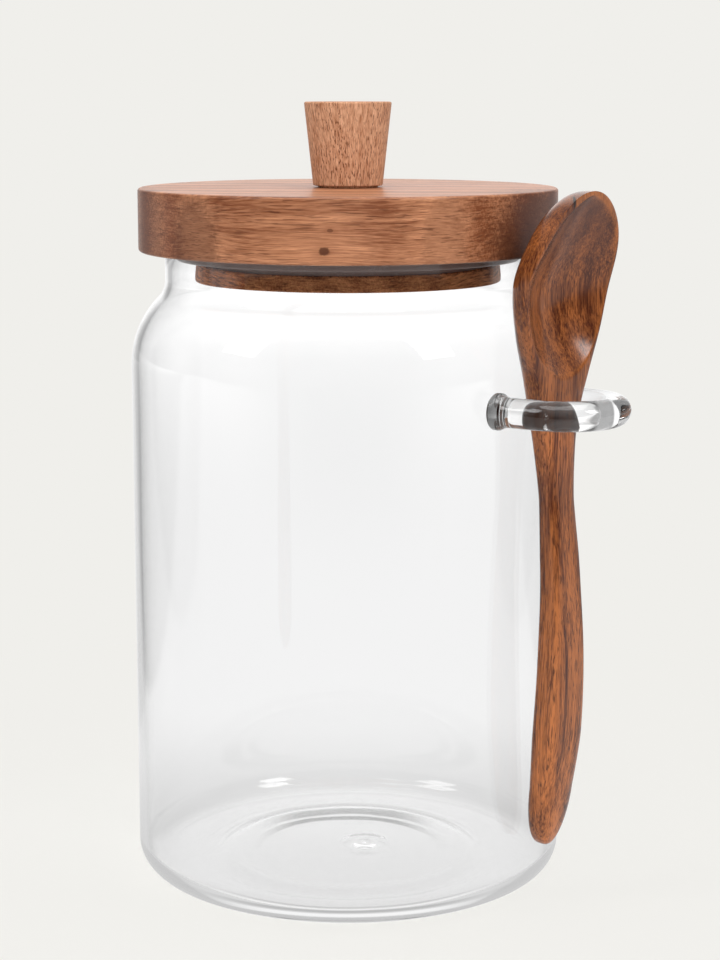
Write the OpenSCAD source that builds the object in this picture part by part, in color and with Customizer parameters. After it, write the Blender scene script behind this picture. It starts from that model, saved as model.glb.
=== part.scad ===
// Glass storage jar with a turned wooden lid, and a wooden spoon that hangs in a glass loop on its wall.
// Millimetres, +Z up. The origin is on the jar's axis, at the level of the table.

/* [Jar] */
// Outside diameter of the body
body_d = 100; // [90:1:130]
// Height of the straight wall, where the shoulder starts
wall_h = 119.6; // [100:0.1:150]
// Thickness of the blown wall
wall_t = 1.6; // [1.2:0.1:2.4]
// Thickness of the floor
floor_t = 2.4; // [1.6:0.1:4]
// Radius of the shoulder
shoulder_r = 22; // [18:0.5:26]
// Outside diameter of the neck
neck_d = 84; // [80:0.5:88]
// Fillet between shoulder and neck
neck_fillet = 5.5; // [3:0.5:8]
// Straight height of the neck above its fillet
neck_h = 6.7; // [6:0.1:12]
// Fire-polished round on each edge of the rim
rim_round = 0.5; // [0.2:0.1:0.6]
// Radius of the heel
heel_r = 6.5; // [4:0.5:12]
// Width of the flat ring that the jar stands on
foot_ring_w = 12.5; // [6:0.5:16]
// Rise of the pushed-up bottom
punt_h = 2.5; // [1:0.1:5]
// Diameter of the pip where the blown bottom was sealed off
pip_d = 9; // [5:0.5:14]
// Height of the pip above the floor
pip_h = 0.8; // [0.4:0.1:1.5]
// Distance of the pip from the jar's axis
pip_offset = 4.5; // [0:0.5:12]

/* [Spoon loop] */
// Diameter of the glass rod
rod_d = 6.6; // [5:0.1:8]
// Direction of the loop, from the front toward the right
loop_angle = 54; // [0:0.5:90]
// Depth of the rod's centre below the start of the shoulder
loop_drop = 6.1; // [5:0.1:20]
// Sideways play of the spoon in the loop
side_play = 1.5; // [0.5:0.1:4]
// Room in the loop, from the spoon's axis to the far side of the rod
front_room = 9.5; // [8:0.1:14]
// Diameter of the flared foot where the rod is fused to the wall
foot_d = 7.8; // [7.2:0.1:10]
// Thickness of the flared foot, out from the wall
foot_t = 1.8; // [1.2:0.1:3]

/* [Lid] */
// Diameter of the lid
lid_d = 96; // [90:0.5:98]
// Thickness of the lid
lid_t = 14.3; // [10:0.1:20]
// Rounded edge of the lid
lid_round = 1; // [0.4:0.1:2]
// Diameter of the plug under the lid
plug_d = 70.4; // [64:0.2:74]
// Thickness of the plug below the seal's groove
plug_t = 3.4; // [2.5:0.1:6]
// Height of the groove that holds the seal
groove_h = 3.4; // [2.8:0.1:5]
// Depth of the groove that holds the seal
groove_in = 2; // [1.5:0.1:4]
// Least width of the seal, from the bottom of its groove to the lip's edge
seal_w = 6.9; // [5:0.1:9]
// Width of the middle stave of the plug
stave_w = 44.6; // [30:0.2:50]
// Thickness of the seal's lip
lip_t = 2.4; // [1.6:0.1:2.6]
// Gap between the seal's lip and the glass
lip_fit = 0.3; // [0.2:0.05:0.6]

/* [Knob] */
// Diameter of the knob at its top
knob_top_d = 20; // [17:0.5:26]
// Diameter of the knob at the lid
knob_foot_d = 16; // [13:0.5:17]
// Height of the knob
knob_h = 19.3; // [15:0.1:26]
// Broken edge of the knob
knob_edge = 0.5; // [0.2:0.1:0.8]
// Diameter of the screw
screw_d = 4; // [3:0.5:5]
// Diameter of the screw's head
screw_head_d = 8; // [6.5:0.5:9]
// Length of screw in the knob
screw_bite = 12; // [8:0.5:13]
// Clearance round the screw
screw_fit = 0.2; // [0.1:0.05:0.4]
// Depth of the screw's head below the face of the plug
screw_sink = 0.3; // [0.3:0.1:1]

/* [Spoon] */
// Height of the handle's end above the table
tip_gap = 14.2; // [5:0.1:40]
// Height of the bowl's end above the loop
bowl_l = 47.5; // [40:0.5:60]
// Widest width of the bowl
bowl_w = 28.2; // [22:0.2:34]
// Height of the bowl's widest place above the loop
bowl_peak = 27; // [22:0.5:32]
// Depth of the bowl's back behind its rim
bowl_d = 8.4; // [7:0.1:11]
// How far the bowl's end leans out
bowl_lean = 9.3; // [5:0.1:12]
// Depth of the hollow
hollow_d = 6; // [3:0.1:6.2]
// Width of the rim round the hollow
rim_w = 1; // [0.6:0.1:2]
// Width of the neck in the loop
neck_w = 13.7; // [11:0.1:16]
// Width of the waist below the loop
waist_w = 9; // [7:0.1:11]
// Width of the grip near the handle's end
grip_w = 11.6; // [9:0.1:13]
// Thickness of the waist
waist_t = 5.4; // [4:0.1:7]
// Thickness of the grip
grip_t = 7; // [5:0.1:8]
// Outward bow of the handle
handle_bow = 2.3; // [0:0.1:3]
// Length of the rounded end of the handle
grip_round = 14; // [8:0.5:20]
// Turn of the spoon in the loop
spoon_turn = -8; // [-10:0.5:10]
// Gap between the spoon and the glass
spoon_fit = 0.4; // [0.3:0.1:0.8]
// Gap between the spoon's back and the jar's wall or the lid's edge
back_fit = 0.9; // [0.6:0.1:3]

/* [Hidden] */
$fn = 96;

// Colours of the photographed materials
glass = [0.86, 0.90, 0.90, 0.35];
lid_wood = "#b07a58";
knob_wood = "#c49a72";
spoon_wood = "#6e3d25";
silicone = "#a9a9ac";
steel = "#b9bcc0";

// Jar: radii and heights of its profile
body_r = body_d / 2;
neck_r = neck_d / 2;
bore_r = neck_r - wall_t;
shoulder_c = body_r - shoulder_r;
fillet_c = neck_r + neck_fillet;
fillet_z = wall_h + sqrt(pow(shoulder_r + neck_fillet, 2) - pow(fillet_c - shoulder_c, 2));
fillet_a = atan2(fillet_z - wall_h, fillet_c - shoulder_c);
rim_z = fillet_z + neck_h;
heel_c = body_r - heel_r;
punt_r = heel_c - foot_ring_w;
punt_R = (punt_r * punt_r + punt_h * punt_h) / (2 * punt_h);
punt_a = asin(punt_r / punt_R);
inner_heel_r = heel_r - wall_t;

// Lid: levels from the rim of the jar
lid_r = lid_d / 2;
lid_top = rim_z + lid_t;
plug_r = plug_d / 2;
plug_top = rim_z - groove_h;
plug_z = plug_top - plug_t;
lip_r = bore_r - lip_fit;
spigot_r = min(plug_r - groove_in, lip_r - seal_w);
lip_round = lip_t / 4;
screw_z = plug_z + screw_sink;
screw_tip = lid_top + screw_bite;
drive_w = screw_d / 4;
drive_l = screw_head_d * 0.55;
drive_h = screw_d * 0.4;
head_h = (screw_head_d - screw_d) / 2;
// How far a cut runs past the face that it opens
cut_past = 1;

// Spoon: lengths from the height of the loop
loop_z = wall_h - loop_drop;
handle_l = loop_z - tip_gap;
bowl_round = bowl_l - bowl_peak;
hollow_low = 0.15 * bowl_l;
hollow_high = bowl_l - 1.7 * rim_w;

// Sections of the spoon, from the handle's end to the bowl's end:
// height from the loop, lean out of the rim's plane, half width, depth behind and depth before that plane
spoon_sections = [
    [-handle_l,        -0.8 * handle_bow, 0.49 * grip_w,  0.47 * grip_t, 0.47 * grip_t],
    [-0.85 * handle_l,  0.1 * handle_bow, 0.49 * grip_w,  0.48 * grip_t, 0.48 * grip_t],
    [-0.72 * handle_l,  0.7 * handle_bow, 0.50 * grip_w,  0.50 * grip_t, 0.50 * grip_t],
    [-0.55 * handle_l,  1.0 * handle_bow, 0.47 * grip_w,  0.47 * grip_t, 0.47 * grip_t],
    [-0.38 * handle_l,  0.8 * handle_bow, 0.53 * waist_w, 0.53 * waist_t, 0.53 * waist_t],
    [-0.21 * handle_l,  0.2 * handle_bow, 0.50 * waist_w, 0.50 * waist_t, 0.50 * waist_t],
    [-0.08 * handle_l, -0.2 * handle_bow, 0.40 * neck_w,  0.60 * waist_t, 0.60 * waist_t],
    [0,                 0.05 * bowl_lean, 0.50 * neck_w,  0.65 * bowl_d, 0.24 * bowl_d],
    [0.15 * bowl_l,     0.17 * bowl_lean, 0.31 * bowl_w,  0.86 * bowl_d, 0.11 * bowl_d],
    [0.35 * bowl_l,     0.22 * bowl_lean, 0.43 * bowl_w,  0.92 * bowl_d, 0.07 * bowl_d],
    [bowl_peak,         0.33 * bowl_lean, 0.50 * bowl_w,  1.00 * bowl_d, 0.06 * bowl_d],
    [0.78 * bowl_l,     0.72 * bowl_lean, 0.50 * bowl_w,  1.15 * bowl_d, 0.06 * bowl_d],
    [bowl_l,            1.00 * bowl_lean, 0.50 * bowl_w,  1.15 * bowl_d, 0.06 * bowl_d]];

// Place of the spoon, clear of the wall and the lid, and the loop that follows it
back_reach = max([for (row = spoon_sections) row[3] - row[1]]);
spoon_e = max(body_r, lid_r) + back_reach + back_fit;
loop_gap = neck_w + 2 * spoon_fit + side_play;
loop_w = (loop_gap + rod_d) / 2;
loop_c = spoon_e + front_room - loop_gap / 2;
leg_root = sqrt(body_r * body_r - pow(loop_w + foot_d / 2, 2));
leg_wall = sqrt(body_r * body_r - loop_w * loop_w);

// Squareness of a section: 2 is an ellipse, more is boxier
section_power = 2.8;
ring_points = 40;
ring_count = 62;

// Points of an arc round [x, z], from one angle to the other
function arc(x, z, r, from, to, steps = 14) =
    [for (i = [0:steps]) let (a = from + (to - from) * i / steps) [x + r * cos(a), z + r * sin(a)]];

// Smooth curve through a column of the sections, at height s
function slope(rows, k, i) =
    let (a = max(i - 1, 0), b = min(i + 1, len(rows) - 1))
    (rows[b][k] - rows[a][k]) / (rows[b][0] - rows[a][0]);
function span_of(rows, s, i = 0) = i >= len(rows) - 2 || s < rows[i + 1][0] ? i : span_of(rows, s, i + 1);
function section_value(rows, k, s) =
    let (i = span_of(rows, s), h = rows[i + 1][0] - rows[i][0], t = (s - rows[i][0]) / h)
    (2 * t * t * t - 3 * t * t + 1) * rows[i][k] + (t * t * t - 2 * t * t + t) * h * slope(rows, k, i)
    + (3 * t * t - 2 * t * t * t) * rows[i + 1][k] + (t * t * t - t * t) * h * slope(rows, k, i + 1);

// The ends close like an ellipse: 1 along the spoon, 0 at its two ends
function closing(s) =
    let (up = (s - bowl_peak) / bowl_round, down = (-handle_l + grip_round - s) / grip_round)
    sqrt(max(0, 1 - pow(max(up, down, 0), 2)));

// Depth of the hollow below the rim's plane, at height s and a from the middle, inside half width w
function hollow(s, a, w) =
    let (v = (2 * s - hollow_low - hollow_high) / (hollow_high - hollow_low),
         edge = (w - rim_w) * sqrt(max(0, 1 - pow(v, 6))))
    abs(v) >= 1 || edge <= 0 || abs(a) >= edge ? 0
    : hollow_d * pow(1 - v * v, 0.6) * (1 - pow(a / edge, 2));

function signed_power(x, p) = sign(x) * pow(abs(x), p);

// One ring of points round the spoon at height s
function spoon_ring(s) =
    let (c = closing(s), lean = section_value(spoon_sections, 1, s),
         w = c * section_value(spoon_sections, 2, s),
         back = sqrt(c) * section_value(spoon_sections, 3, s),
         front = sqrt(c) * section_value(spoon_sections, 4, s))
    [for (i = [0:ring_points - 1])
        let (q = 360 * i / ring_points, x = w * signed_power(cos(q), 2 / section_power),
             y = signed_power(sin(q), 2 / section_power))
        [x, -lean + (q <= 180 ? back * y : front * y + hollow(s, x, w)), s]];

// Profile of the blown jar: outside from the middle of the bottom to the rim, then inside back down
module jar_profile() {
    outside = concat(
        arc(0, punt_h - punt_R, punt_R, 90, 90 - punt_a),
        arc(heel_c, heel_r, heel_r, -90, 0),
        arc(shoulder_c, wall_h, shoulder_r, 0, fillet_a),
        arc(fillet_c, fillet_z, neck_fillet, 180 + fillet_a, 180),
        arc(neck_r - rim_round, rim_z - rim_round, rim_round, 0, 90, 6));
    inside = concat(
        arc(bore_r + rim_round, rim_z - rim_round, rim_round, 90, 180, 6),
        arc(fillet_c, fillet_z, neck_fillet + wall_t, 180, 180 + fillet_a),
        arc(shoulder_c, wall_h, shoulder_r - wall_t, fillet_a, 0),
        arc(heel_c, floor_t + inner_heel_r, inner_heel_r, 0, -90),
        arc(0, floor_t + punt_h - punt_R, punt_R, 90 - punt_a, 90));
    polygon(concat(outside, inside));
}

// The pip stands on the pushed-up floor, rooted half way into it
module seal_off_pip() {
    pip_R = (pip_d * pip_d / 4 + pip_h * pip_h) / (2 * pip_h);
    pip_a = asin(pip_d / 2 / pip_R);
    translate([pip_offset, 0, floor_t + punt_h]) rotate_extrude() polygon(concat(
        arc(0, pip_h - pip_R, pip_R, 90, 90 - pip_a), [[pip_d / 2, -floor_t / 2], [0, -floor_t / 2]]));
}

module glass_jar() {
    color(glass) union() {
        rotate_extrude() jar_profile();
        seal_off_pip();
    }
}

// Puts its children in the loop's frame: -Y points out from the wall, X goes along the wall
module at_loop() {
    translate([0, 0, loop_z]) rotate([0, 0, loop_angle]) children();
}

// One leg of the loop, with its flared foot, out from the wall along -Y
module loop_leg() {
    foot_round = (foot_d - rod_d) / 2;
    translate([0, -leg_root, 0]) rotate([90, 0, 0]) {
        cylinder(d = rod_d, h = loop_c - leg_root);
        flare_z = leg_wall - leg_root + foot_t;
        rotate_extrude() polygon(concat([[0, 0], [foot_d / 2, 0]],
            arc(foot_d / 2 - foot_round, flare_z - foot_round, foot_round, 0, 90, 8), [[0, flare_z]]));
    }
}

module spoon_loop() {
    color(glass) difference() {
        at_loop() {
            translate([0, -loop_c, 0]) rotate([0, 0, 180]) rotate_extrude(angle = 180)
                translate([loop_w, 0]) circle(d = rod_d);
            for (side = [-1, 1]) translate([side * loop_w, 0, 0]) loop_leg();
        }
        cylinder(r = body_r, h = wall_h);
    }
}

// A turned disc from z0 to z1 with rounded edges at its top and bottom
module turned_disc(r, z0, z1, edge) {
    rotate_extrude() polygon(concat([[0, z0]],
        arc(r - edge, z0 + edge, edge, -90, 0, 8),
        arc(r - edge, z1 - edge, edge, 0, 90, 8), [[0, z1]]));
}

// Clearance hole for the screw
module screw_hole(fit) {
    low = plug_z - cut_past;
    translate([0, 0, low]) cylinder(d = screw_d + 2 * fit, h = screw_tip + fit - low);
}

module lid_disc() {
    color(lid_wood) difference() {
        turned_disc(lid_r, rim_z, lid_top, lid_round);
        screw_hole(screw_fit);
    }
}

// The whole turned plug: a spigot under the lid, a groove for the seal and a wider foot
module plug_blank() {
    difference() {
        union() {
            turned_disc(plug_r, plug_z, plug_top, plug_t / 8);
            translate([0, 0, plug_top]) cylinder(r = spigot_r, h = groove_h);
        }
        screw_hole(screw_fit);
        translate([0, 0, screw_z - screw_fit]) cylinder(d1 = screw_head_d + 2 * screw_fit,
            d2 = screw_d + 2 * screw_fit, h = head_h);
        translate([0, 0, plug_z - cut_past]) cylinder(d = screw_head_d + 2 * screw_fit,
            h = cut_past + screw_sink - screw_fit);
    }
}

// The plug between two glue lines, x0 and x1
module plug_stave(x0, x1) {
    color(lid_wood) intersection() {
        plug_blank();
        translate([x0, -plug_r, plug_z]) cube([x1 - x0, plug_d, plug_t + groove_h]);
    }
}

module plug_stave_left() {
    plug_stave(-plug_r, -stave_w / 2);
}

module plug_stave_middle() {
    plug_stave(-stave_w / 2, stave_w / 2);
}

module plug_stave_right() {
    plug_stave(stave_w / 2, plug_r);
}

// The seal sits in the groove and reaches out to the glass with one lip
module seal_ring() {
    color(silicone) rotate_extrude() polygon(concat(
        [[spigot_r, plug_top], [plug_r - lip_round, plug_top], [plug_r, rim_z - lip_t]],
        arc(lip_r - lip_round, rim_z - lip_t + lip_round, lip_round, -90, 0, 6),
        arc(lip_r - lip_round, rim_z - lip_round, lip_round, 0, 90, 6),
        [[spigot_r, rim_z]]));
}

module lid_knob() {
    color(knob_wood) difference() {
        translate([0, 0, lid_top]) rotate_extrude() polygon([[0, 0], [knob_foot_d / 2 - knob_edge, 0],
            [knob_foot_d / 2, knob_edge], [knob_top_d / 2, knob_h - knob_edge],
            [knob_top_d / 2 - knob_edge, knob_h], [0, knob_h]]);
        screw_hole(0);
    }
}

// Countersunk wood screw, up through plug and lid into the knob
module knob_screw() {
    point_h = screw_d;
    color(steel) difference() {
        rotate_extrude() polygon([[0, screw_z], [screw_head_d / 2, screw_z],
            [screw_d / 2, screw_z + head_h], [screw_d / 2, screw_tip - point_h], [0, screw_tip]]);
        for (turn = [0, 90]) rotate([0, 0, turn])
            translate([-drive_l / 2, -drive_w / 2, screw_z - cut_past])
                cube([drive_l, drive_w, drive_h + cut_past]);
    }
}

// The spoon is lofted through its sections, with a point at each end
module spoon() {
    inner = [for (i = [1:ring_count])
        let (t = (1 - cos(180 * i / (ring_count + 1))) / 2) -handle_l + (handle_l + bowl_l) * t];
    ends = [for (s = [-handle_l, bowl_l]) [0, -section_value(spoon_sections, 1, s), s]];
    points = concat([for (s = inner) each spoon_ring(s)], ends);
    last = ring_count * ring_points;
    sides = [for (i = [0:ring_count - 2], j = [0:ring_points - 1])
        let (a = i * ring_points + j, b = i * ring_points + (j + 1) % ring_points)
        each [[a, b + ring_points, b], [a, a + ring_points, b + ring_points]]];
    low = [for (j = [0:ring_points - 1]) [last, j, (j + 1) % ring_points]];
    high = [for (j = [0:ring_points - 1])
        [last + 1, last - ring_points + (j + 1) % ring_points, last - ring_points + j]];
    color(spoon_wood) at_loop() translate([-side_play / 2, -spoon_e, 0]) rotate([0, 0, spoon_turn])
        polyhedron(points = points, faces = concat(low, sides, high), convexity = 6);
}

glass_jar();
spoon_loop();
lid_disc();
plug_stave_left();
plug_stave_middle();
plug_stave_right();
seal_ring();
lid_knob();
knob_screw();
spoon();
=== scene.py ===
"""Looks of a glass storage jar with a turned wooden lid and a wooden spoon that hangs in a glass loop."""
import logging
import math
from dataclasses import dataclass
from enum import Enum
from functools import reduce
from typing import Any, Iterable, Sequence

import bmesh
import bpy
import numpy as np
from mathutils import Matrix, Vector, noise


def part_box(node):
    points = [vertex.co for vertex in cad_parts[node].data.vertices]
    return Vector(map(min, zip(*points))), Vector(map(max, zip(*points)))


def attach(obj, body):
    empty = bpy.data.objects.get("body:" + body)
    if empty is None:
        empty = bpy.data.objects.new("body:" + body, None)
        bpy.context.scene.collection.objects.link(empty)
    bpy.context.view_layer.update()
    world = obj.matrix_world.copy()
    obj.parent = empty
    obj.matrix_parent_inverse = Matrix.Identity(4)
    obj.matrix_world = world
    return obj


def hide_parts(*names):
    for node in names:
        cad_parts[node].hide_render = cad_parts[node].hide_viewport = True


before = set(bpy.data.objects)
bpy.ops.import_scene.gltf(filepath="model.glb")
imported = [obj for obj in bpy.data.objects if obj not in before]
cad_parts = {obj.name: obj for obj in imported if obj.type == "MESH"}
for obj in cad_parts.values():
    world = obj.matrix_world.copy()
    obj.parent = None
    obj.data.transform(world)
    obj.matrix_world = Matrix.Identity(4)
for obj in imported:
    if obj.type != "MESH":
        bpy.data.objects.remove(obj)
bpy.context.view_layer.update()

LOG = logging.getLogger("storage_jar")
MM = 0.001
Colour = tuple[float, float, float, float]
Point = tuple[float, float]
Triple = tuple[float, float, float]
Ramp = tuple[float, float, float, float]
Socket = bpy.types.NodeSocket
WHITE: Colour = (1.0, 1.0, 1.0, 1.0)
FIGURE_VALUES = ("Ring Width", "Ring Depth", "Band Depth", "Fibre Depth", "Fine Depth", "Fine Length",
                 "Pore Depth", "Pore Length", "Pore Width", "End Depth", "Layer")
FIGURE_COLOURS = ("Pale", "Deep", "Pore")


def srgb(red: int, green: int, blue: int) -> Colour:
    """Turns a screen colour into a scene colour.

    Args:
        red: Red, from 0 to 255.
        green: Green, from 0 to 255.
        blue: Blue, from 0 to 255.

    Returns:
        The linear colour, with an alpha of 1.
    """
    shares = [value / 255 for value in (red, green, blue)]
    linear = [s / 12.92 if s <= 0.04045 else ((s + 0.055) / 1.055) ** 2.4 for s in shares]
    return (linear[0], linear[1], linear[2], 1.0)


class Grain(Enum):
    """Directions that the fibres of a piece can run, as turns that bring them to the pattern's X."""

    ALONG_X = (0.0, 0.0, 0.0)
    ALONG_Y = (0.0, 0.0, -90.0)
    ALONG_Z = (0.0, 90.0, 0.0)


class Graph:
    """Adds nodes to one node tree and links them."""

    def __init__(self, tree: bpy.types.NodeTree) -> None:
        """Keeps the tree that the nodes go into."""
        self.tree = tree

    def fill(self, node: bpy.types.Node, values: dict[Any, Any]) -> None:
        """Links or sets inputs of a node.

        Args:
            node: The node.
            values: Other nodes' outputs or plain values, by the input's name or number.
        """
        for key, value in values.items():
            if isinstance(value, Socket):
                self.tree.links.new(value, node.inputs[key])
            else:
                node.inputs[key].default_value = value

    def node(self, kind: str, values: dict[Any, Any] | None = None, **settings: Any) -> bpy.types.Node:
        """Adds one node.

        Args:
            kind: The node's type name.
            values: What its inputs take, by name or number.
            settings: Properties of the node.

        Returns:
            The new node.
        """
        node = self.tree.nodes.new(kind)
        for name, setting in settings.items():
            setattr(node, name, setting)
        self.fill(node, values or {})
        return node

    def out(self, kind: str, values: dict[Any, Any] | None = None, **settings: Any) -> Socket:
        """Adds one node and gives its first output."""
        return self.node(kind, values, **settings).outputs[0]

    def math(self, operation: str, *values: Any, clamp: bool = False) -> Socket:
        """Adds a Math node and gives its result, held between 0 and 1 if clamp is set."""
        return self.out("ShaderNodeMath", dict(enumerate(values)), operation=operation, use_clamp=clamp)

    def plus(self, *values: Any) -> Socket:
        """Adds up two or more values."""
        return reduce(lambda total, value: self.math("ADD", total, value), values)

    def times(self, *values: Any) -> Socket:
        """Multiplies two or more values."""
        return reduce(lambda total, value: self.math("MULTIPLY", total, value), values)

    def slope(self, value: Any, factor: Any, start: Any) -> Socket:
        """Gives the value times the factor, plus the start."""
        return self.math("MULTIPLY_ADD", value, factor, start)

    def vector(self, operation: str, *values: Any) -> Socket:
        """Adds a Vector Math node and gives its vector."""
        return self.out("ShaderNodeVectorMath", dict(enumerate(values)), operation=operation)

    def scaled(self, vector: Any, factor: Any) -> Socket:
        """Multiplies a vector by a number."""
        return self.out("ShaderNodeVectorMath", {0: vector, "Scale": factor}, operation="SCALE")

    def length(self, vector: Any) -> Socket:
        """Gives the length of a vector."""
        return self.node("ShaderNodeVectorMath", {0: vector}, operation="LENGTH").outputs["Value"]

    def split(self, vector: Any) -> tuple[Socket, ...]:
        """Gives the three parts of a vector."""
        return tuple(self.node("ShaderNodeSeparateXYZ", {0: vector}).outputs)

    def joined(self, x: Any, y: Any, z: Any) -> Socket:
        """Puts three values together into a vector."""
        return self.out("ShaderNodeCombineXYZ", {0: x, 1: y, 2: z})

    def blend(self, share: Any, first: Any, second: Any) -> Socket:
        """Mixes two colours, with share as the part of the second one."""
        return self.node("ShaderNodeMix", {0: share, 6: first, 7: second}, data_type="RGBA").outputs[2]

    def step(self, value: Any, low: float, high: float, start: float = 0.0, end: float = 1.0) -> Socket:
        """Maps a value smoothly from the range of low to high to the range of start to end."""
        values = {"Value": value, "From Min": low, "From Max": high, "To Min": start, "To Max": end}
        return self.out("ShaderNodeMapRange", values, interpolation_type="SMOOTHSTEP")

    def noise(self, place: Any, detail: float, roughness: float = 0.5, scale: float = 1.0) -> Socket:
        """Adds a noise texture and gives its value."""
        values = {"Vector": place, "Detail": detail, "Roughness": roughness, "Scale": scale}
        return self.out("ShaderNodeTexNoise", values)

    def drawn(self, place: Any, size: Any, detail: float, roughness: float = 0.5,
              scale: float = 1.0) -> Socket:
        """Adds a noise texture that is drawn out by a factor each way, and gives its value."""
        return self.noise(self.vector("MULTIPLY", place, size), detail, roughness, scale)


def new_group(name: str, kind: str, inputs: dict[str, str],
              outputs: dict[str, str]) -> tuple[Graph, Any, bpy.types.Node]:
    """Makes a node group with named sockets.

    Args:
        name: The group's name.
        kind: ShaderNodeTree or GeometryNodeTree.
        inputs: Socket types by input name.
        outputs: Socket types by output name.

    Returns:
        The graph of the group, the sockets of its inputs and its output node.
    """
    tree = bpy.data.node_groups.new(name, kind)
    for direction, sockets in (("INPUT", inputs), ("OUTPUT", outputs)):
        for socket, socket_type in sockets.items():
            tree.interface.new_socket(name=socket, in_out=direction, socket_type="NodeSocket" + socket_type)
    graph = Graph(tree)
    return graph, graph.node("NodeGroupInput").outputs, graph.node("NodeGroupOutput")


def wood_figure_group() -> bpy.types.NodeTree:
    """Builds the solid figure of wood: growth rings, bands, fibres and pores, with the fibres along X.

    Returns:
        The shader node group.
    """
    inputs = {"Vector": "Vector", "Normal": "Vector"}
    inputs |= dict.fromkeys(FIGURE_VALUES, "Float") | dict.fromkeys(FIGURE_COLOURS, "Color")
    outputs = {"Color": "Color", "Height": "Float"}
    graph, given, result = new_group("Wood figure", "ShaderNodeTree", inputs, outputs)
    place = graph.scaled(given["Vector"], 1 / MM)
    drift = graph.drawn(place, (0.012, 0.03, 0.03), 2.0).node.outputs["Color"]
    bent = graph.vector("ADD", place, graph.scaled(graph.vector("SUBTRACT", drift, (0.5, 0.5, 0.5)), 8.0))
    radius = graph.length(graph.vector("MULTIPLY", bent, (0.0, 1.0, 1.0)))
    turn = graph.times(graph.math("DIVIDE", radius, given["Ring Width"]), math.tau)
    ring = graph.math("POWER", graph.slope(graph.math("COSINE", turn), -0.5, 0.5), 1.4)
    facing = [graph.math("ABSOLUTE", part) for part in graph.split(given["Normal"])]
    end = graph.step(facing[0], 0.5, 0.9)
    layer = graph.math("MAXIMUM", given["Layer"], graph.math("GREATER_THAN", facing[2], 0.7))
    laid = graph.vector("MULTIPLY", bent, graph.joined(1.0, layer, 1.0))
    calm = graph.slope(end, -0.6, 1.0)
    crisp = graph.times(end, given["End Depth"], 3.0)
    thread = graph.joined(graph.math("DIVIDE", 1.0, given["Fine Length"]), 3.0, 3.0)
    band = graph.drawn(laid, (0.008, 0.16, 0.16), 3.0, 0.65)
    fibre = graph.drawn(laid, (0.03, 0.7, 0.7), 3.0, 0.65)
    fine = graph.drawn(laid, thread, 3.0, 0.65)
    dots = graph.drawn(bent, (2.2, 2.2, 2.2), 2.0, 0.65)
    tone = graph.slope(graph.math("SUBTRACT", ring, 0.4), given["Ring Depth"], 0.5)
    for pattern, depth, gain in ((band, "Band Depth", calm), (fibre, "Fibre Depth", calm),
                                 (fine, "Fine Depth", calm), (dots, "Fine Depth", crisp)):
        tone = graph.slope(graph.times(graph.slope(pattern, 4.0, -2.0), gain), given[depth], tone)
    tone = graph.math("MULTIPLY_ADD", end, given["End Depth"], tone, clamp=True)
    sizes = [graph.math("DIVIDE", 1.0, given[size]) for size in ("Pore Length", "Pore Width", "Pore Width")]
    strokes = graph.step(graph.drawn(laid, graph.joined(*sizes), 1.0), 0.57, 0.66)
    patches = graph.step(graph.drawn(bent, (0.02, 0.15, 0.15), 1.0), 0.3, 0.62, 0.45, 1.0)
    pore = graph.times(strokes, patches)
    cover = graph.math("MULTIPLY", pore, given["Pore Depth"], clamp=True)
    figure = graph.blend(tone, given["Pale"], given["Deep"])
    graph.fill(result, {"Color": graph.blend(cover, figure, given["Pore"]),
                        "Height": graph.math("SUBTRACT", graph.times(fine, 0.8), pore)})
    return graph.tree


def spot_group() -> bpy.types.NodeTree:
    """Builds the mask of one spot with a ragged edge, such as a knot, a crack or a patch of painted shadow.

    Returns:
        The shader node group.
    """
    inputs = {"Vector": "Vector", "Place": "Vector", "Reach": "Vector", "Ragged": "Float"}
    graph, given, result = new_group("Spot", "ShaderNodeTree", inputs, {"Mask": "Float", "Halo": "Float"})
    offset = graph.vector("SUBTRACT", given["Vector"], given["Place"])
    distance = graph.length(graph.vector("DIVIDE", offset, given["Reach"]))
    rough = graph.noise(given["Vector"], 3.0, 0.6, 900.0)
    wavy = graph.slope(graph.math("SUBTRACT", rough, 0.5), given["Ragged"], distance)
    graph.fill(result, {"Mask": graph.step(wavy, 0.7, 1.15, 1.0, 0.0),
                        "Halo": graph.step(wavy, 0.8, 3.2, 1.0, 0.0)})
    return graph.tree


def handling_group() -> bpy.types.NodeTree:
    """Builds the uneven gloss that handling leaves: broad smears and fine specks.

    Returns:
        The shader node group.
    """
    inputs = {"Vector": "Vector", "Base": "Float", "Smear": "Float", "Speck": "Float"}
    graph, given, result = new_group("Handling", "ShaderNodeTree", inputs, {"Roughness": "Float"})
    value = given["Base"]
    for depth, detail, roughness, scale in (("Smear", 3.0, 0.5, 60.0), ("Speck", 2.0, 0.6, 1500.0)):
        pattern = graph.noise(given["Vector"], detail, roughness, scale)
        value = graph.slope(graph.math("SUBTRACT", pattern, 0.5), given[depth], value)
    graph.fill(result, {"Roughness": graph.math("MAXIMUM", value, 0.02)})
    return graph.tree


class Groups:
    """The shared shader groups, built once."""

    def __init__(self) -> None:
        """Builds every shared group."""
        self.wood = wood_figure_group()
        self.spot = spot_group()
        self.handling = handling_group()


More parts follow.
